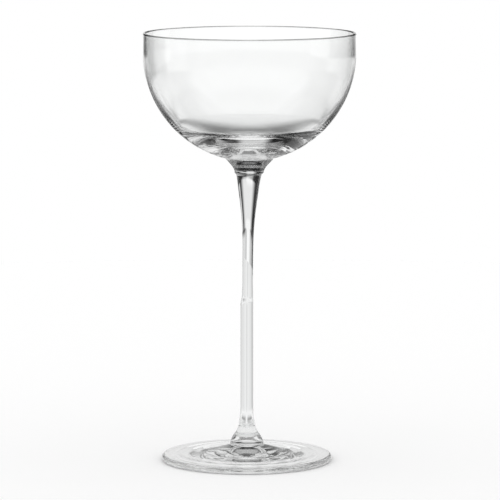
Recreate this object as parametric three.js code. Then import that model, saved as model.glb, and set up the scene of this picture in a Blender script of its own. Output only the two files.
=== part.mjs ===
// A tall cocktail glass of the coupe kind, in clear hand-worked glass, standing on its foot.
// Six pieces of glass, fused end to end while hot: foot, foot collar, lower stem, upper stem,
// bowl collar and bowl. Nothing on it moves.
// Millimetres, +Z up. The origin is on the table, straight under the centre of the rim.

import * as THREE from "three";

// Foot: a rippled disc that rises to a seat in its middle and is hollowed underneath
const footDiameter = 80.4;
const footEdgeThickness = 3;
const footSeatHeight = 7.2;
const footSeatMargin = 0.5;
const footContactWidth = 5;
const footHollowDepth = 1;
const rippleSpacing = 6.4;
const rippleDepth = 0.3;

// Foot collar: a small bell that carries the stem on the foot
const footCollarHeight = 10;
const footCollarDiameter = 15.8;
const footCollarBead = 0.7;
const footCollarSwell = 3.2;
const footCollarNeck = 3.6;

// Lower stem: a rod, a little spread at its foot and shouldered at its top
const lowerStemLength = 62;
const lowerStemDiameter = 6.1;
const lowerStemEndDiameter = 7.8;
const lowerStemSpread = 13;
const shoulderLength = 6;

// Upper stem: drawn thin above the joint and swelling into a throat under the bowl
const upperStemLength = 56.8;
const stemJointDiameter = 5.3;
const waistDiameter = 5.06;
const waistHeight = 9;
const neckDiameter = 5.7;
const neckDrop = 25;
const throatDiameter = 9.7;
const throatDrop = 7;
const upperStemTopDiameter = 12;

// Bowl collar: a trumpet between the stem's top and the bowl's underside
const bowlCollarHeight = 7.5;
const bowlCollarDiameter = 23.6;
const bowlCollarBead = 0.9;
const bowlCollarRise = 2;
const bowlCollarLip = 2.4;

// Bowl: a round bottom under a short upright band, thin at the rim and thick at the bottom
const rimDiameter = 100;
const rimThickness = 1.3;
const rimBandHeight = 9.2;
const bowlRoundDepth = 51.1;
const wallThicknessBelow = 3.15;
const bowlFloorDiameter = 69;
const bowlFloorThickness = 7.4;
const floorCornerEase = 3.5;
const floorFlatDiameter = 35;

// Hand-made lean: how far the axis moves sideways at the stem's joint, along the upper stem
// and at the bowl collar, so that the foot stands to the left of the rim's centre
const jointJog = 0.35;
const stemLean = 0.5;
const collarJog = 0.45;

// Facets round the axis and along the curves
const wideSegments = 56;
const narrowSegments = 28;
const longCurveSteps = 12;
const shortCurveSteps = 7;
const edgeSteps = 4;
const stepsPerRipple = 5;

const quarterTurn = Math.PI / 2;

// Heights of the seams above the table
const lowerStemHeight = footSeatHeight + footCollarHeight;
const upperStemHeight = lowerStemHeight + lowerStemLength;
const bowlCollarSeat = upperStemHeight + upperStemLength;
const bowlSeat = bowlCollarSeat + bowlCollarHeight;

// How far the axis stands sideways at a height above the table
function axisShift(height) {
  const { smoothstep } = THREE.MathUtils;
  const joint = smoothstep(height, upperStemHeight - shoulderLength, upperStemHeight);
  const stem = smoothstep(height, upperStemHeight, bowlCollarSeat);
  const collar = smoothstep(height, bowlCollarSeat - throatDrop, bowlSeat);
  return jointJog * (joint - 1) + stemLean * (stem - 1) + collarJog * (collar - 1);
}

function at(radius, height) {
  return new THREE.Vector2(radius, height);
}

function line(from, to) {
  return new THREE.LineCurve(from, to).getPoints(1);
}

function bezier(from, pullFrom, pullTo, to, steps) {
  return new THREE.CubicBezierCurve(from, pullFrom, pullTo, to).getPoints(steps);
}

function arc(centre, radiusAcross, radiusUp, fromAngle, toAngle, steps) {
  const clockwise = toAngle < fromAngle;
  const curve = new THREE.EllipseCurve(
    centre.x, centre.y, radiusAcross, radiusUp, fromAngle, toAngle, clockwise);
  return curve.getPoints(steps);
}

// Turns a profile, given as stretches that follow one another, round the upright axis,
// and leans it as the axis leans from the height of its base up
function revolve(stretches, segments, base) {
  const profile = [];
  for (const point of stretches.flat()) {
    const repeats = profile.length > 0 && profile.at(-1).distanceTo(point) < 1e-3;
    if (!repeats) profile.push(point);
  }
  const geometry = new THREE.LatheGeometry(profile, segments);
  geometry.rotateX(quarterTurn);
  const { position } = geometry.attributes;
  for (let i = 0; i < position.count; i += 1) {
    position.setX(i, position.getX(i) + axisShift(base + position.getZ(i)));
  }
  return geometry;
}

// The foot's upper face: a hollow slope from the edge up to the seat, with rings of ripples
// left by spinning, which fade out towards both ends
function footTop(edge, seat) {
  const width = edge.x - seat.x;
  const steps = Math.round((width / rippleSpacing) * stepsPerRipple);
  const points = [];
  for (let step = 0; step <= steps; step += 1) {
    const share = step / steps;
    const slope = edge.y + (seat.y - edge.y) * share ** 2;
    const fade = Math.sin(Math.PI * share);
    const ripple = Math.sin((2 * Math.PI * width * share) / rippleSpacing);
    points.push(at(edge.x - width * share, slope + (rippleDepth / 2) * fade * ripple));
  }
  return points;
}

// The hollow under the foot is a shallow round, level with the table at its border
function footHollow(border) {
  const round = (border ** 2 + footHollowDepth ** 2) / (2 * footHollowDepth);
  const half = Math.asin(border / round);
  const centre = at(0, footHollowDepth - round);
  return arc(centre, round, round, quarterTurn, quarterTurn - half, shortCurveSteps);
}

function footGeometry() {
  const edgeRound = footEdgeThickness / 2;
  const flatRadius = footDiameter / 2 - edgeRound;
  const hollowRadius = flatRadius - footContactWidth;
  const edgeCentre = at(flatRadius, edgeRound);
  const seat = at(footCollarDiameter / 2 + footSeatMargin, footSeatHeight);
  return revolve([
    footHollow(hollowRadius),
    line(at(hollowRadius, 0), at(flatRadius, 0)),
    arc(edgeCentre, edgeRound, edgeRound, -quarterTurn, quarterTurn, edgeSteps),
    footTop(at(flatRadius, footEdgeThickness), seat),
    line(seat, at(0, footSeatHeight)),
  ], wideSegments, 0);
}

function footCollarGeometry() {
  const radius = footCollarDiameter / 2;
  const topRadius = lowerStemEndDiameter / 2;
  const flatRadius = radius - footCollarBead;
  const beadCentre = at(flatRadius, footCollarBead);
  return revolve([
    line(at(0, 0), at(flatRadius, 0)),
    arc(beadCentre, footCollarBead, footCollarBead, -quarterTurn, 0, edgeSteps),
    bezier(
      at(radius, footCollarBead), at(radius, footCollarBead + footCollarSwell),
      at(topRadius, footCollarHeight - footCollarNeck), at(topRadius, footCollarHeight),
      shortCurveSteps),
    line(at(topRadius, footCollarHeight), at(0, footCollarHeight)),
  ], narrowSegments, footSeatHeight);
}

function lowerStemGeometry() {
  const endRadius = lowerStemEndDiameter / 2;
  const radius = lowerStemDiameter / 2;
  const jointRadius = stemJointDiameter / 2;
  const shoulderFoot = lowerStemLength - shoulderLength;
  const shoulderMiddle = lowerStemLength - shoulderLength / 2;
  return revolve([
    line(at(0, 0), at(endRadius, 0)),
    bezier(
      at(endRadius, 0), at(radius, lowerStemSpread / 3),
      at(radius, lowerStemSpread / 2), at(radius, lowerStemSpread), shortCurveSteps),
    line(at(radius, lowerStemSpread), at(radius, shoulderFoot)),
    bezier(
      at(radius, shoulderFoot), at(radius, shoulderMiddle),
      at(jointRadius, shoulderMiddle), at(jointRadius, lowerStemLength), shortCurveSteps),
    line(at(jointRadius, lowerStemLength), at(0, lowerStemLength)),
  ], narrowSegments, lowerStemHeight);
}

function upperStemGeometry() {
  const jointRadius = stemJointDiameter / 2;
  const topRadius = upperStemTopDiameter / 2;
  const outline = new THREE.SplineCurve([
    at(jointRadius, 0),
    at(waistDiameter / 2, waistHeight),
    at(neckDiameter / 2, upperStemLength - neckDrop),
    at(throatDiameter / 2, upperStemLength - throatDrop),
    at(topRadius, upperStemLength),
  ]);
  return revolve([
    line(at(0, 0), at(jointRadius, 0)),
    outline.getPoints(2 * longCurveSteps),
    line(at(topRadius, upperStemLength), at(0, upperStemLength)),
  ], narrowSegments, upperStemHeight);
}

function bowlCollarGeometry() {
  const lowRadius = upperStemTopDiameter / 2;
  const beadRadius = lowRadius + bowlCollarBead;
  const radius = bowlCollarDiameter / 2;
  const beadCentre = at(lowRadius, bowlCollarBead);
  return revolve([
    line(at(0, 0), at(lowRadius, 0)),
    arc(beadCentre, bowlCollarBead, bowlCollarBead, -quarterTurn, 0, edgeSteps),
    bezier(
      at(beadRadius, bowlCollarBead), at(beadRadius, bowlCollarBead + bowlCollarRise),
      at(radius - bowlCollarLip, bowlCollarHeight - bowlCollarLip), at(radius, bowlCollarHeight),
      shortCurveSteps),
    line(at(radius, bowlCollarHeight), at(0, bowlCollarHeight)),
  ], narrowSegments, bowlCollarSeat);
}

function bowlGeometry() {
  const radius = rimDiameter / 2;
  const seatRadius = bowlCollarDiameter / 2;
  const innerRadius = radius - rimThickness;
  const rimRound = rimThickness / 2;
  // The bowl's round is cut off level where the collar meets it
  const seatAngle = Math.acos(seatRadius / radius);
  const bandFoot = bowlRoundDepth * Math.sin(seatAngle);
  const bandTop = bandFoot + rimBandHeight - rimRound;
  // Inside, the wall thickens slowly down to the edge of the floor, which is dished
  const innerDepth = bowlRoundDepth - wallThicknessBelow;
  const innerTurn = Math.acos(bowlFloorDiameter / 2 / innerRadius);
  const floorEdge = at(bowlFloorDiameter / 2, bandFoot - innerDepth * Math.sin(innerTurn));
  const heading = at(-innerRadius * Math.sin(innerTurn), -innerDepth * Math.cos(innerTurn));
  const floorPull = floorEdge.clone().add(heading.setLength(floorCornerEase));
  return revolve([
    line(at(0, 0), at(seatRadius, 0)),
    arc(at(0, bandFoot), radius, bowlRoundDepth, -seatAngle, 0, longCurveSteps),
    line(at(radius, bandFoot), at(radius, bandTop)),
    arc(at(radius - rimRound, bandTop), rimRound, rimRound, 0, Math.PI, edgeSteps),
    line(at(innerRadius, bandTop), at(innerRadius, bandFoot)),
    arc(at(0, bandFoot), innerRadius, innerDepth, 0, -innerTurn, longCurveSteps),
    bezier(
      floorEdge, floorPull,
      at(floorFlatDiameter / 2, bowlFloorThickness), at(0, bowlFloorThickness), shortCurveSteps),
  ], wideSegments, bowlSeat);
}

// Each piece has a glass of its own, so that one can be tinted without the others
function clearGlass() {
  return new THREE.MeshStandardMaterial({
    color: 0xf3f7f6, roughness: 0.04, metalness: 0, transparent: true, opacity: 0.35,
  });
}

function piece(name, geometry, height) {
  const mesh = new THREE.Mesh(geometry, clearGlass());
  mesh.name = name;
  mesh.position.z = height;
  return mesh;
}

const glass = new THREE.Group();
glass.add(
  piece("foot", footGeometry(), 0),
  piece("foot_collar", footCollarGeometry(), footSeatHeight),
  piece("lower_stem", lowerStemGeometry(), lowerStemHeight),
  piece("upper_stem", upperStemGeometry(), upperStemHeight),
  piece("bowl_collar", bowlCollarGeometry(), bowlCollarSeat),
  piece("bowl", bowlGeometry(), bowlSeat),
);

export default glass;
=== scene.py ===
"""Looks of a tall coupe cocktail glass in clear hand-worked glass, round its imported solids.

The glass is one smooth skin, turned from one outline and cut at the seams into its six fused pieces.
Sizes of the outline are in millimetres, as it was drawn; everything placed in the scene is in metres.
"""

import math

import bpy
import numpy as np
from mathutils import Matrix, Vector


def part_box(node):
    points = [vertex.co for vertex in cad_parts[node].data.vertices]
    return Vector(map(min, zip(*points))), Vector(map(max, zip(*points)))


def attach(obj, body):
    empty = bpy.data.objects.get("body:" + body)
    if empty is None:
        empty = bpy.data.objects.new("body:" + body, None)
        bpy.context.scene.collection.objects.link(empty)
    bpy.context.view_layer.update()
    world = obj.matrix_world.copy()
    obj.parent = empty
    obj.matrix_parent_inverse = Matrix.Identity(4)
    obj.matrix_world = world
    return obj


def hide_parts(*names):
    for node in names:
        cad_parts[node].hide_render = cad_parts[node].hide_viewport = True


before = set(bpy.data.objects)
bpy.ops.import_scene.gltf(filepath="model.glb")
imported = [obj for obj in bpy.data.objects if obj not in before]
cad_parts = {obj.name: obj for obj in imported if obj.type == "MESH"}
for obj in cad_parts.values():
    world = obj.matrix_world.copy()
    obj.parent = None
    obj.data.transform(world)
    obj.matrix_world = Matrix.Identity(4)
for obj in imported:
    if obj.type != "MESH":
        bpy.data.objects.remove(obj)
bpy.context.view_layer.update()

MM = 0.001
HALF_PI = math.pi / 2
FULL_TURN, HALF_TURN = 360, 180
UP = np.array([0.0, 0.0, 1.0])
WHITE = (1, 1, 1, 1)
PIECES = ("foot", "foot_collar", "lower_stem", "upper_stem", "bowl_collar", "bowl")

# Camera, fitted to the outline of the glass in the photograph
IMAGE_SIDE_PX = 500
FOCAL_PX = 3772.7
SENSOR_WIDTH_MM = 36
CAMERA_DISTANCE = 1.7626
CAMERA_HEIGHT = 0.31981
CAMERA_SIDE = 0.00021
CAMERA_PITCH = math.radians(7.11)

# Outline of the foot and of the bell on it
FOOT_EDGE = 3.0
FOOT_CONTACT_WIDTH = 5.0
FOOT_HOLLOW = 1.0
FOOT_SEAT_MARGIN = 0.5
RIPPLE_SPACING = 6.4
RIPPLE_DEPTH = 0.1
BELL_BEAD = 0.7
BELL_SWELL = 3.2
BELL_NECK = 3.6

# Outline of the stem, whose named places are a diameter and a height or a drop
STEM_SPREAD = 13.0
STEM_DIAMETER = 6.1
SHOULDER = 6.0
JOINT_DIAMETER = 5.3
WAIST_DIAMETER, WAIST_HEIGHT = 5.06, 9.0
NECK_DIAMETER, NECK_DROP = 5.7, 25.0
THROAT_DIAMETER, THROAT_DROP = 9.7, 7.0
STEM_TOP_DIAMETER = 12.0

# Outline of the trumpet and the bowl
TRUMPET_BEAD = 0.9
TRUMPET_RISE = 2.0
TRUMPET_LIP = 2.4
RIM_THICKNESS = 1.3
RIM_BAND = 9.2
RIM_CROWN = 0.9
WALL_BELOW = 3.15
INNER_TURN = 0.784
CORNER_PULL = 3.5
FLOOR_THICKNESS = 7.4
FLOOR_PULL = 0.62

# Sideways steps of the axis at the joint, along the upper stem and at the trumpet
JOINT_JOG = 0.35
STEM_LEAN = 0.5
TRUMPET_JOG = 0.45

# Heat has rounded the narrow corners near the axis; the wide rims keep the roundness that was drawn. The
# average that rounds them reaches to either side as many times the rounding as AVERAGE_REACH says.
HEAT_ROUNDING = 0.3
AVERAGE_REACH = 3
ROUNDED_WITHIN, SHARP_BEYOND = 14.0, 20.0

# Faint rings that the shaping tool left under the bowl. They waver round the axis in two waves, each
# given by how often it comes round and where it starts.
MARK_DEPTH = 0.02
MARK_SPACING = 2.2
MARK_WAVER = 0.6
MARK_WAVES = ((2, 1), (5, 2))
MARKS_LOW, MARKS_HIGH, MARKS_FADE = 145.0, 146.5, 1.5

# How finely the curves are drawn
BEZIER_POINTS = 60
ARC_POINTS = 90
SPLINE_POINTS = 40
SLOPE_POINTS = 400

# How finely the skin is divided along its outline and round the axis
FINE_STEP = 0.05
LONGEST_STEP = 0.33
LARGEST_TURN = math.radians(4)
SEGMENTS = 160
ANGLES = np.arange(SEGMENTS) * 2 * math.pi / SEGMENTS

# Points nearer than this are one point, and no direction is divided by a length under this
SAME_PLACE = 1e-6
SHORTEST = 1e-9

# How strongly the glass bends light, and how often light may meet its faces
GLASS_IOR = 1.5
LIGHT_BOUNCES = 96

# Tone of the glass where it is thin and round its solid axis, with streaks, haze and a waver of the surface
CLEAR_TONE = (0.985, 0.99, 0.988, 1)
CORE_TONE = (0.915, 0.922, 0.92, 1)
CORE_FROM, CORE_TO = 0.009, 0.026
STREAK_SCALE, STREAK_SHARE = 40, 0.1
HAZE_SCALE, HAZE_ROUGHNESS = 90, 0.004
WAVER_SCALE, WAVER_STRENGTH, WAVER_DEPTH = 45, 0.1, 0.00002

# Table under the glass; its top is a hair below the foot, so that the two faces don't coincide
TABLE_RADIUS = 0.75
TABLE_CORNERS = 96
TABLE_GAP = 0.0001

# Painted sheen: a painted reflection of the backdrop that the table glows with in the glass, in pairs of
# facing and level. Facing is 0 from straight above and nears 1 at a flat angle. Bearings here and below are
# in degrees, to the right from straight behind the glass, and distances are counted from its axis.
PAINTED_TABLE_SHEEN = (
    (0.20, 0.7), (0.46, 0.8), (0.495, 0.5), (0.515, 0.2), (0.53, 0.22), (0.54, 0.38),
    (0.56, 0.59), (0.58, 0.78), (0.60, 0.91), (0.63, 1.0), (0.74, 1.0), (0.80, 0.82))

# Shifts of the painted sheen's facing off the middle, at the sides and in front: from a bearing, to a
# bearing, by
PAINTED_SHEEN_SHIFTS = ((0, 6.5, -0.13), (28, 45, 0.2), (110, 150, 0.5))

# Painted shade: light that the table's glow keeps at a flat angle, in pairs of bearing and share
FLAT_SHADE = ((-95, 0.95), (-62, 0.65), (-12, 0.9), (2, 0.97), (24, 0.82), (42, 0.95))
FLAT_FROM, FLAT_TO = 0.76, 0.81

# Painted shade: the table glows grey in the glass to the left and right of it, seen from above
BESIDE_BEARING, BESIDE_WITHIN, BESIDE_BEYOND, BESIDE_LEVEL = 90, 15, 30, 0.35

# Painted shade: two dark patches on the table behind the glass, left and right, that don't show at a flat
# angle
PAINTED_PATCH_BEARING, PAINTED_PATCH_HALF, PAINTED_PATCH_EDGE, PAINTED_PATCH_DARKNESS = 21, 8, 8, 0.9
PAINTED_PATCH_FLAT, PAINTED_PATCH_FLATTEST = 0.75, 0.81
PAINTED_PATCH_NEAR, PAINTED_PATCH_FAR = 0.32, 0.37

# Painted shadow of the bowl on the table, which shows where the table is seen steeply
BOWL_SHADE, SHADE_INSIDE, SHADE_OUTSIDE = 0.3, 0.105, 0.13
SHADE_STEEP, SHADE_FLAT = 0.45, 0.6

# Painted light: the table glows white in the glass under the foot and close round it
NEAR_LEVEL, NEAR_INSIDE, NEAR_OUTSIDE = 0.95, 0.045, 0.06

# Studio as the glass shows it: soft panels in a dim room. Elevations are in degrees from the level of the
# glass, halves are half the width of a panel, and edges are how wide it fades.
ROOM_LEVEL = 0.008
PANEL_CAP = 1.06
PANELS = (
    # Straight behind the glass: under its level, at it and above it
    dict(strength=1.05, bearing=0, half=11, side_edge=10, low=-90, high=-2.5, level_edge=3),
    dict(strength=0.88, bearing=3, half=23, side_edge=20, low=-4.0, high=5.2, level_edge=1.4),
    dict(strength=0.65, bearing=-3, half=10, side_edge=8, low=5, high=25, level_edge=8),
    # Behind on the right: under the level, at it and above it
    dict(strength=0.75, bearing=53, half=33, side_edge=10, low=-90, high=-5.0, level_edge=1.8),
    dict(strength=0.7, bearing=60, half=18, side_edge=6, low=-4, high=5, level_edge=0.8),
    dict(strength=0.6, bearing=45, half=25, side_edge=14, low=12.5, high=28, level_edge=3),
    # Behind on the left, under the level, and between these three low panels
    dict(strength=0.5, bearing=-27, half=9, side_edge=8, low=-90, high=-5.0, level_edge=1.8),
    dict(strength=0.55, bearing=17, half=4, side_edge=6, low=-7.8, high=-4.3, level_edge=0.6),
    dict(strength=0.55, bearing=-15, half=5, side_edge=6, low=-7.8, high=-4.3, level_edge=0.6),
    # High behind, and at the left side
    dict(strength=0.45, bearing=0, half=35, side_edge=20, low=30, high=48, level_edge=8),
    dict(strength=1.0, bearing=-92, half=14, side_edge=10, low=-90, high=4, level_edge=3),
    # In front: under the level, and above it
    dict(strength=0.8, bearing=180, half=90, side_edge=80, low=-90, high=1, level_edge=5),
    dict(strength=0.45, bearing=180, half=70, side_edge=50, low=18, high=45, level_edge=10),
)


def node_size(name):
    """A node's highest point and half its width along Y, in millimetres."""
    low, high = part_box(name)
    return high.z / MM, (high.y - low.y) / MM / 2


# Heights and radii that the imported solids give
FOOT_TOP, FOOT_RADIUS = node_size("foot")
BELL_TOP, BELL_RADIUS = node_size("foot_collar")
JOINT, STEM_END_RADIUS = node_size("lower_stem")
STEM_TOP = node_size("upper_stem")[0]
BOWL_SEAT, TRUMPET_RADIUS = node_size("bowl_collar")
RIM_TOP, RIM_RADIUS = node_size("bowl")


def smoothstep(value, low, high):
    """Rises smoothly from 0 at the low value to 1 at the high one."""
    share = np.clip((value - low) / (high - low), 0, 1)
    return share * share * (3 - 2 * share)


def line(start, end):
    return np.array([start, end], float)


def bezier(start, pull_start, pull_end, end):
    """A curve that leaves its start towards one pull and reaches its end from the other."""
    t = np.linspace(0, 1, BEZIER_POINTS)[:, None]
    points = [np.array(point, float) for point in (start, pull_start, pull_end, end)]
    weights = ((1 - t) ** 3, 3 * (1 - t) ** 2 * t, 3 * (1 - t) * t ** 2, t ** 3)
    return sum(weight * point for weight, point in zip(weights, points))


def arc(centre, across, up, start, end):
    """Part of a circle or an ellipse, from a start angle to an end angle."""
    angle = np.linspace(start, end, ARC_POINTS)
    return np.stack([centre[0] + across * np.cos(angle), centre[1] + up * np.sin(angle)], 1)


def spline(points):
    """A smooth curve through points: each stretch is a cubic with the slopes of its neighbours."""
    p = np.array(points, float)
    p = np.vstack([p[:1], p, p[-1:]])
    t = np.linspace(0, 1, SPLINE_POINTS)[:, None]
    stretches = []
    for before, start, end, after in zip(p, p[1:], p[2:], p[3:]):
        leave, arrive = (end - before) / 2, (after - start) / 2
        stretches.append(
            (2 * start - 2 * end + leave + arrive) * t ** 3
            + (3 * end - 3 * start - 2 * leave - arrive) * t ** 2 + leave * t + start)
    return np.vstack(stretches)


def foot_outline():
    """From under the middle of the foot, round its edge and up its rippled slope to the bell."""
    edge = FOOT_EDGE / 2
    flat = FOOT_RADIUS - edge
    border = flat - FOOT_CONTACT_WIDTH
    hollow_round = (border ** 2 + FOOT_HOLLOW ** 2) / (2 * FOOT_HOLLOW)
    half_angle = math.asin(border / hollow_round)
    seat = BELL_RADIUS + FOOT_SEAT_MARGIN
    reach = flat - seat
    share = np.linspace(0, 1, SLOPE_POINTS)
    ripple = np.sin(np.pi * share) * np.sin(2 * np.pi * reach * share / RIPPLE_SPACING)
    rise = (FOOT_TOP - FOOT_EDGE) * share ** 2
    slope = np.stack([flat - reach * share, FOOT_EDGE + rise + RIPPLE_DEPTH / 2 * ripple], 1)
    return [
        arc((0, FOOT_HOLLOW - hollow_round), hollow_round, hollow_round, HALF_PI, HALF_PI - half_angle),
        line((border, 0), (flat, 0)),
        arc((flat, edge), edge, edge, -HALF_PI, HALF_PI),
        slope,
        line((seat, FOOT_TOP), (BELL_RADIUS - BELL_BEAD, FOOT_TOP)),
    ]


def bell_outline():
    """Over the bell's bead and up its swell to the end of the stem."""
    bead_top = FOOT_TOP + BELL_BEAD
    return [
        arc((BELL_RADIUS - BELL_BEAD, bead_top), BELL_BEAD, BELL_BEAD, -HALF_PI, 0),
        bezier(
            (BELL_RADIUS, bead_top), (BELL_RADIUS, bead_top + BELL_SWELL),
            (STEM_END_RADIUS, BELL_TOP - BELL_NECK), (STEM_END_RADIUS, BELL_TOP)),
    ]


def stem_outline():
    """Up the lower stem to its joint, and up the drawn stem through its waist and neck to the throat."""
    rod = STEM_DIAMETER / 2
    joint = JOINT_DIAMETER / 2
    shoulder_middle = JOINT - SHOULDER / 2
    return [
        bezier(
            (STEM_END_RADIUS, BELL_TOP), (rod, BELL_TOP + STEM_SPREAD / 3),
            (rod, BELL_TOP + STEM_SPREAD / 2), (rod, BELL_TOP + STEM_SPREAD)),
        bezier((rod, JOINT - SHOULDER), (rod, shoulder_middle), (joint, shoulder_middle), (joint, JOINT)),
        spline([
            (joint, JOINT),
            (WAIST_DIAMETER / 2, JOINT + WAIST_HEIGHT),
            (NECK_DIAMETER / 2, STEM_TOP - NECK_DROP),
            (THROAT_DIAMETER / 2, STEM_TOP - THROAT_DROP),
            (STEM_TOP_DIAMETER / 2, STEM_TOP)]),
    ]


def trumpet_outline():
    """Over the trumpet's bead and out to its lip under the bowl."""
    low = STEM_TOP_DIAMETER / 2
    bead_top = STEM_TOP + TRUMPET_BEAD
    return [
        arc((low, bead_top), TRUMPET_BEAD, TRUMPET_BEAD, -HALF_PI, 0),
        bezier(
            (low + TRUMPET_BEAD, bead_top), (low + TRUMPET_BEAD, bead_top + TRUMPET_RISE),
            (TRUMPET_RADIUS - TRUMPET_LIP, BOWL_SEAT - TRUMPET_LIP), (TRUMPET_RADIUS, BOWL_SEAT)),
    ]


def bowl_outline():
    """Up the outside of the bowl, over its rim and down inside to the middle of its floor."""
    rim_round = RIM_THICKNESS / 2
    band_foot = RIM_TOP - RIM_BAND
    seat_angle = math.acos(TRUMPET_RADIUS / RIM_RADIUS)
    round_depth = (band_foot - BOWL_SEAT) / math.sin(seat_angle)
    inner = RIM_RADIUS - RIM_THICKNESS
    inner_depth = round_depth - WALL_BELOW
    wall = arc((0, band_foot), inner, inner_depth, 0, -INNER_TURN)
    corner = wall[-1]
    heading = np.array([-inner * math.sin(INNER_TURN), -inner_depth * math.cos(INNER_TURN)])
    floor = BOWL_SEAT + FLOOR_THICKNESS
    return [
        arc((0, band_foot), RIM_RADIUS, round_depth, -seat_angle, 0),
        arc((RIM_RADIUS - rim_round, RIM_TOP - RIM_CROWN), rim_round, RIM_CROWN, 0, math.pi),
        wall,
        bezier(
            corner, corner + CORNER_PULL * heading / np.linalg.norm(heading),
            (corner[0] * FLOOR_PULL, floor), (0, floor)),
    ]


def path_length(points):
    """How far along an outline each of its points lies."""
    return np.concatenate([[0], np.cumsum(np.hypot(*np.diff(points, axis=0).T))])


def respaced(points, along, count):
    """The outline at evenly spaced values of a measure that grows along it."""
    even = np.linspace(0, along[-1], count)
    return np.stack([np.interp(even, along, points[:, i]) for i in (0, 1)], 1)


def heat_rounded(points):
    """Rounds the corners near the axis as the flame does, with a bell-shaped average along the outline."""
    reach = int(AVERAGE_REACH * HEAT_ROUNDING / FINE_STEP)
    weights = np.exp(-0.5 * (np.arange(-reach, reach + 1) * FINE_STEP / HEAT_ROUNDING) ** 2)
    weights /= weights.sum()
    mirror = np.array([-1, 1])
    padded = np.vstack([points[reach:0:-1] * mirror, points, points[-2:-reach - 2:-1] * mirror])
    averaged = np.stack([np.convolve(padded[:, i], weights, "valid") for i in (0, 1)], 1)
    sharp = smoothstep(points[:, :1], ROUNDED_WITHIN, SHARP_BEYOND)
    return averaged * (1 - sharp) + points * sharp


def whole_outline():
    """The outline of the whole glass in fine steps, from under its foot to the floor of its bowl."""
    groups = (foot_outline(), bell_outline(), stem_outline(), trumpet_outline(), bowl_outline())
    drawn = np.vstack([stretch for group in groups for stretch in group])
    keep = np.concatenate([[True], np.hypot(*np.diff(drawn, axis=0).T) > SAME_PLACE])
    drawn = drawn[keep]
    along = path_length(drawn)
    return heat_rounded(respaced(drawn, along, int(along[-1] / FINE_STEP)))


def seam_places(fine):
    """Where along the fine outline the pieces start and the last one ends."""
    rim = np.argmax(fine[:, 1])
    by_the_bell = np.abs(fine[:, 1] - FOOT_TOP) < BELL_BEAD
    groove = np.argmin(np.where(by_the_bell, fine[:, 0], np.inf)[:rim])
    outside = fine[groove:rim, 1]
    seams = [groove + np.searchsorted(outside, height) for height in (BELL_TOP, JOINT, STEM_TOP, BOWL_SEAT)]
    return [0, groove, *seams, len(fine) - 1]


def divided(part):
    """An outline with its points closer together where it turns."""
    heading = np.unwrap(np.arctan2(*np.gradient(part, axis=0).T[::-1]))
    turn = np.concatenate([[0], np.cumsum(np.abs(np.diff(heading)))])
    measure = path_length(part) / LONGEST_STEP + turn / LARGEST_TURN
    return respaced(part, measure, int(measure[-1]) + 2)


def piece_outlines():
    """The outline of each piece, in the order of the pieces."""
    fine = whole_outline()
    cuts = seam_places(fine)
    return [divided(fine[start:end + 1]) for start, end in zip(cuts, cuts[1:])]


def axis_shift(height):
    """How far the axis stands sideways at a height, in millimetres."""
    joint = smoothstep(height, JOINT - SHOULDER, JOINT)
    stem = smoothstep(height, JOINT, STEM_TOP)
    trumpet = smoothstep(height, STEM_TOP - THROAT_DROP, BOWL_SEAT)
    return JOINT_JOG * (joint - 1) + STEM_LEAN * (stem - 1) + TRUMPET_JOG * (trumpet - 1)


def turned(outline):
    """Rings of points round the leaning axis, one ring for each point of an outline."""
    radius = outline[:, 0, None]
    height = outline[:, 1, None]
    x = axis_shift(height) + radius * np.cos(ANGLES)
    y = radius * np.sin(ANGLES)
    return np.stack([x, y, np.broadcast_to(height, x.shape)], 2)


def skin_normals(rings):
    """The direction that the skin faces at each of its points, from the points round it."""
    around = np.roll(rings, -1, 1) - np.roll(rings, 1, 1)
    along = np.gradient(rings, axis=0)
    normal = np.cross(around, along)
    length = np.linalg.norm(normal, axis=2, keepdims=True)
    return normal / np.maximum(length, SHORTEST)


def tool_marks(outline):
    """How far the tool's rings raise the skin at each point of its rings."""
    height = outline[:, 1]
    over = smoothstep(height, MARKS_LOW - MARKS_FADE, MARKS_LOW)
    under = smoothstep(height, MARKS_HIGH + MARKS_FADE, MARKS_HIGH)
    fade = over * under
    fade[np.argmax(height):] = 0
    waver = MARK_WAVER * sum(np.sin(times * ANGLES + start) for times, start in MARK_WAVES)
    phase = 2 * math.pi * (path_length(outline)[:, None] + waver) / MARK_SPACING
    return MARK_DEPTH * fade[:, None] * np.sin(phase)


def skin(outlines):
    """The whole skin of the glass as rings of points, with the directions that it faces."""
    outline = np.vstack([outlines[0]] + [part[1:] for part in outlines[1:]])
    rings = turned(outline)
    rings = rings + skin_normals(rings) * tool_marks(outline)[:, :, None]
    return rings, skin_normals(rings)


def ring_faces(count):
    """The faces between rings of points, and the two fans that close the ends, each round its middle."""
    index = np.arange(count * SEGMENTS).reshape(count, SEGMENTS)
    beside = np.roll(index, -1, 1)
    quads = np.stack([index[:-1], beside[:-1], beside[1:], index[1:]], 2).reshape(-1, 4)
    low_middle = np.full(SEGMENTS, count * SEGMENTS)
    low_fan = np.stack([low_middle, beside[0], index[0]], 1)
    high_fan = np.stack([low_middle + 1, index[-1], beside[-1]], 1)
    return quads, low_fan, high_fan


def fan_normals(fan, normals, on_axis, outward):
    """Where a closing fan faces: straight outward, or as the skin does where it ends on the axis."""
    corners = np.repeat([outward], 3 * SEGMENTS, 0).reshape(SEGMENTS, 3, 3)
    if on_axis:
        corners[:, 1:] = normals[fan[:, 1:]]
    return corners.reshape(-1, 3)


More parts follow.
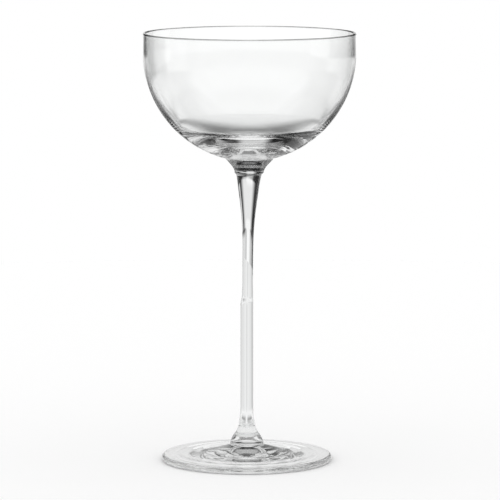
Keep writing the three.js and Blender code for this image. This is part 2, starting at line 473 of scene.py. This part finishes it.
def glass_piece(name, rings, normals, materials):
    """A closed mesh of one piece: its stretch of the skin, closed by level faces where it is fused."""
    middles = rings[[0, -1]].mean(1)
    low_on_axis, high_on_axis = np.ptp(rings[[0, -1], :, 0], axis=1) < SAME_PLACE
    kept = slice(int(low_on_axis), len(rings) - int(high_on_axis))
    rings = rings[kept]
    normals = normals[kept].reshape(-1, 3)
    quads, low_fan, high_fan = ring_faces(len(rings))
    points = np.vstack([rings.reshape(-1, 3), middles]) * MM
    mesh = bpy.data.meshes.new(name)
    mesh.from_pydata(points.tolist(), [], quads.tolist() + low_fan.tolist() + high_fan.tolist())
    for material in materials:
        mesh.materials.append(material)
    slots = [0, int(not low_on_axis), int(not high_on_axis)]
    mesh.polygons.foreach_set("material_index", np.repeat(slots, [len(quads), SEGMENTS, SEGMENTS]))
    mesh.polygons.foreach_set("use_smooth", np.ones(len(mesh.polygons), bool))
    facing = np.vstack([
        normals[quads.ravel()],
        fan_normals(low_fan, normals, low_on_axis, -UP),
        fan_normals(high_fan, normals, high_on_axis, UP)])
    mesh.normals_split_custom_set(facing.tolist())
    mesh.update()
    piece = bpy.data.objects.new(name, mesh)
    bpy.context.scene.collection.objects.link(piece)
    return piece


def maths(tree, operation, *values):
    """The output of a new maths node, whose inputs are numbers or other outputs."""
    node = tree.nodes.new("ShaderNodeMath")
    node.operation = operation
    for socket, value in zip(node.inputs, values):
        if isinstance(value, (int, float)):
            socket.default_value = value
        else:
            tree.links.new(value, socket)
    return node.outputs[0]


def product(tree, first, *others):
    """The product of several outputs."""
    result = first
    for other in others:
        result = maths(tree, "MULTIPLY", result, other)
    return result


def soft_step(tree, value, start, end):
    """Rises smoothly from 0 at the start to 1 at the end."""
    node = tree.nodes.new("ShaderNodeMapRange")
    node.interpolation_type = "SMOOTHSTEP"
    tree.links.new(value, node.inputs["Value"])
    node.inputs["From Min"].default_value = start
    node.inputs["From Max"].default_value = end
    return node.outputs["Result"]


def blend(tree, share, start, end):
    """Goes from the start value to the end value as the share goes from 0 to 1."""
    rest = maths(tree, "MULTIPLY", start, maths(tree, "SUBTRACT", 1, share))
    return maths(tree, "MULTIPLY_ADD", share, end, rest)


def ramp(tree, value, stops):
    """Goes through the given pairs of place and level, in straight stretches."""
    node = tree.nodes.new("ShaderNodeValToRGB")
    tree.links.new(value, node.inputs["Fac"])
    elements = node.color_ramp.elements
    while len(elements) < len(stops):
        elements.new(1)
    for element, (place, level) in zip(elements, stops):
        element.position = place
        element.color = (level, level, level, 1)
    return node.outputs["Color"]


def noise(tree, vector, scale):
    """Soft cloudy noise, from 0 to 1."""
    node = tree.nodes.new("ShaderNodeTexNoise")
    node.inputs["Scale"].default_value = scale
    tree.links.new(vector, node.inputs["Vector"])
    return node.outputs["Fac"]


def vector_parts(tree, vector):
    """The outputs X, Y and Z of a vector."""
    node = tree.nodes.new("ShaderNodeSeparateXYZ")
    tree.links.new(vector, node.inputs["Vector"])
    return node.outputs


def vector_length(tree, vector):
    node = tree.nodes.new("ShaderNodeVectorMath")
    node.operation = "LENGTH"
    tree.links.new(vector, node.inputs[0])
    return node.outputs["Value"]


def bearing_of(tree, parts):
    """The bearing of a place or a direction, in degrees."""
    return maths(tree, "DEGREES", maths(tree, "ARCTAN2", parts["X"], parts["Y"]))


def degrees_off(tree, turn, bearing):
    """How far a turn to either side is from a bearing."""
    return maths(tree, "ABSOLUTE", maths(tree, "SUBTRACT", turn, bearing))


def through_glass(tree):
    """1 for rays that the glass sends on, 0 for the camera's own rays and for soft light."""
    path = tree.nodes.new("ShaderNodeLightPath")
    return maths(tree, "MAXIMUM", path.outputs["Is Glossy Ray"], path.outputs["Is Transmission Ray"])


def glass_material():
    """Clear glass, a little deeper in tone where it is solid round the axis, with faint haze and waver."""
    material = bpy.data.materials.new("clear_glass")
    material.use_nodes = True
    tree = material.node_tree
    shader = tree.nodes["Principled BSDF"]
    place = tree.nodes.new("ShaderNodeTexCoord").outputs["Object"]
    parts = vector_parts(tree, place)
    depth_squared = maths(tree, "MULTIPLY", parts["Y"], parts["Y"])
    radius = maths(tree, "SQRT", maths(tree, "MULTIPLY_ADD", parts["X"], parts["X"], depth_squared))
    core = soft_step(tree, radius, CORE_TO, CORE_FROM)
    streaks = noise(tree, place, STREAK_SCALE)
    tone = tree.nodes.new("ShaderNodeMix")
    tone.data_type = "RGBA"
    tone.inputs["A"].default_value = CLEAR_TONE
    tone.inputs["B"].default_value = CORE_TONE
    tree.links.new(maths(tree, "MULTIPLY_ADD", streaks, STREAK_SHARE, core), tone.inputs["Factor"])
    tree.links.new(tone.outputs["Result"], shader.inputs["Base Color"])
    haze = noise(tree, place, HAZE_SCALE)
    tree.links.new(maths(tree, "MULTIPLY", haze, HAZE_ROUGHNESS), shader.inputs["Roughness"])
    waver = tree.nodes.new("ShaderNodeBump")
    waver.inputs["Strength"].default_value = WAVER_STRENGTH
    waver.inputs["Distance"].default_value = WAVER_DEPTH
    tree.links.new(noise(tree, place, WAVER_SCALE), waver.inputs["Height"])
    tree.links.new(waver.outputs["Normal"], shader.inputs["Normal"])
    shader.inputs["IOR"].default_value = GLASS_IOR
    shader.inputs["Transmission Weight"].default_value = 1
    return material


def seam_material():
    """Nothing shows where two pieces are fused: the glass runs through."""
    material = bpy.data.materials.new("fused_seam")
    material.use_nodes = True
    tree = material.node_tree
    tree.nodes.remove(tree.nodes["Principled BSDF"])
    clear = tree.nodes.new("ShaderNodeBsdfTransparent")
    tree.links.new(clear.outputs["BSDF"], tree.nodes["Material Output"].inputs["Surface"])
    return material


def make_glass():
    """The six pieces, each a stretch of the one skin."""
    outlines = piece_outlines()
    whole, normals = skin(outlines)
    materials = (glass_material(), seam_material())
    start = 0
    for name, outline in zip(PIECES, outlines):
        end = start + len(outline) - 1
        piece = glass_piece("glass_" + name, whole[start:end + 1], normals[start:end + 1], materials)
        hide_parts(name)
        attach(piece, "root")
        start = end


def make_camera():
    """The photograph's place and angle."""
    data = bpy.data.cameras.new("camera")
    data.sensor_width = SENSOR_WIDTH_MM
    data.lens = FOCAL_PX * SENSOR_WIDTH_MM / IMAGE_SIDE_PX
    camera = bpy.data.objects.new("camera", data)
    camera.location = (CAMERA_SIDE, -CAMERA_DISTANCE, CAMERA_HEIGHT)
    camera.rotation_euler = (HALF_PI - CAMERA_PITCH, 0, 0)
    bpy.context.scene.collection.objects.link(camera)
    bpy.context.scene.camera = camera


def painted_table_sheen(tree, turn, facing):
    """The table's painted sheen: its glow in the glass by how flat it is seen."""
    for start, end, shift in PAINTED_SHEEN_SHIFTS:
        facing = maths(tree, "MULTIPLY_ADD", soft_step(tree, turn, start, end), shift, facing)
    return ramp(tree, facing, PAINTED_TABLE_SHEEN)


def kept_flat(tree, bearing, flat):
    """The share of light that the painted shade keeps at a flat angle, from a ramp that spans a full turn.
    """
    place = maths(tree, "MULTIPLY_ADD", bearing, 1 / FULL_TURN, 0.5)
    share = ramp(tree, place, [(stop / FULL_TURN + 0.5, kept) for stop, kept in FLAT_SHADE])
    return blend(tree, flat, 1, share)


def kept_beside(tree, turn, flat):
    """The share of light that the painted shade leaves to the left and right of the glass."""
    beside = soft_step(tree, degrees_off(tree, turn, BESIDE_BEARING), BESIDE_BEYOND, BESIDE_WITHIN)
    return blend(tree, product(tree, beside, maths(tree, "SUBTRACT", 1, flat)), 1, BESIDE_LEVEL)


def kept_by_painted_patches(tree, turn, facing, distance):
    """The share of light that the two painted dark patches leave."""
    half_edge = PAINTED_PATCH_EDGE / 2
    painted_patch = product(
        tree,
        soft_step(tree, degrees_off(tree, turn, PAINTED_PATCH_BEARING), PAINTED_PATCH_HALF + half_edge, PAINTED_PATCH_HALF - half_edge),
        soft_step(tree, facing, PAINTED_PATCH_FLATTEST, PAINTED_PATCH_FLAT),
        soft_step(tree, distance, PAINTED_PATCH_NEAR, PAINTED_PATCH_FAR))
    return maths(tree, "MULTIPLY_ADD", painted_patch, -PAINTED_PATCH_DARKNESS, 1)


def kept_in_shade(tree, facing, distance):
    """The share of light that the bowl's painted shadow leaves."""
    shaded = soft_step(tree, distance, SHADE_OUTSIDE, SHADE_INSIDE)
    steep = soft_step(tree, facing, SHADE_FLAT, SHADE_STEEP)
    return blend(tree, product(tree, shaded, steep), 1, BOWL_SHADE)


def table_level(tree):
    """How bright the table glows in the glass, with painted sheen and painted shade, by how flat it is seen
    and where.
    """
    place = tree.nodes.new("ShaderNodeNewGeometry").outputs["Position"]
    facing = tree.nodes.new("ShaderNodeLayerWeight").outputs["Facing"]
    bearing = bearing_of(tree, vector_parts(tree, place))
    turn = maths(tree, "ABSOLUTE", bearing)
    distance = vector_length(tree, place)
    flat = soft_step(tree, facing, FLAT_FROM, FLAT_TO)
    level = product(
        tree,
        painted_table_sheen(tree, turn, facing),
        kept_flat(tree, bearing, flat),
        kept_beside(tree, turn, flat),
        kept_by_painted_patches(tree, turn, facing, distance),
        kept_in_shade(tree, facing, distance))
    # Painted light: white glow under the foot and close round it
    return blend(tree, soft_step(tree, distance, NEAR_OUTSIDE, NEAR_INSIDE), level, NEAR_LEVEL)


def table_material():
    """Matt white; in the glass it glows instead, with painted sheen and painted shade."""
    material = bpy.data.materials.new("floor")
    material.use_nodes = True
    tree = material.node_tree
    table = tree.nodes["Principled BSDF"]
    table.inputs["Base Color"].default_value = WHITE
    table.inputs["Roughness"].default_value = 1
    table.inputs["Specular IOR Level"].default_value = 0
    # Painted light: the glow that the glass sees in place of the lit table
    glow = tree.nodes.new("ShaderNodeEmission")
    tree.links.new(table_level(tree), glow.inputs["Strength"])
    mix = tree.nodes.new("ShaderNodeMixShader")
    tree.links.new(through_glass(tree), mix.inputs["Fac"])
    tree.links.new(table.outputs["BSDF"], mix.inputs[1])
    tree.links.new(glow.outputs["Emission"], mix.inputs[2])
    tree.links.new(mix.outputs["Shader"], tree.nodes["Material Output"].inputs["Surface"])
    return material


def make_floor():
    """The round table that the glass stands on."""
    bpy.ops.mesh.primitive_circle_add(vertices=TABLE_CORNERS, radius=TABLE_RADIUS, fill_type="NGON")
    floor = bpy.context.object
    floor.name = "floor"
    floor.location.z = -TABLE_GAP
    floor.data.materials.append(table_material())


def panel_share(tree, bearing, elevation, panel):
    """How much of a panel shows in a direction: 1 inside it, 0 outside, with soft edges."""
    turn = maths(tree, "WRAP", maths(tree, "SUBTRACT", bearing, panel["bearing"]), HALF_TURN, -HALF_TURN)
    half, low, high = panel["half"], panel["low"], panel["high"]
    side, edge = panel["side_edge"] / 2, panel["level_edge"] / 2
    return product(
        tree,
        soft_step(tree, maths(tree, "ABSOLUTE", turn), half + side, half - side),
        soft_step(tree, elevation, low - edge, low + edge),
        soft_step(tree, elevation, high + edge, high - edge))


def make_world():
    """Even white light, and the studio's soft panels in a dim room where the glass reflects and bends it."""
    world = bpy.data.worlds.new("studio")
    bpy.context.scene.world = world
    world.use_nodes = True
    tree = world.node_tree
    parts = vector_parts(tree, tree.nodes.new("ShaderNodeTexCoord").outputs["Generated"])
    bearing = bearing_of(tree, parts)
    elevation = maths(tree, "DEGREES", maths(tree, "ARCSINE", parts["Z"]))
    level = ROOM_LEVEL
    for panel in PANELS:
        share = panel_share(tree, bearing, elevation, panel)
        level = maths(tree, "MULTIPLY_ADD", share, panel["strength"], level)
    level = maths(tree, "MINIMUM", level, PANEL_CAP)
    dimming = maths(tree, "MULTIPLY", maths(tree, "SUBTRACT", level, 1), through_glass(tree))
    background = tree.nodes["Background"]
    background.inputs["Color"].default_value = WHITE
    tree.links.new(maths(tree, "ADD", dimming, 1), background.inputs["Strength"])


def set_bounces():
    """Lets light meet many faces of the glass before it is lost."""
    cycles = bpy.context.scene.cycles
    cycles.max_bounces = LIGHT_BOUNCES
    cycles.transmission_bounces = LIGHT_BOUNCES
    cycles.glossy_bounces = LIGHT_BOUNCES
    cycles.transparent_max_bounces = LIGHT_BOUNCES


make_camera()
make_floor()
make_world()
make_glass()
set_bounces()
bpy.context.scene.view_settings.view_transform = "Standard"
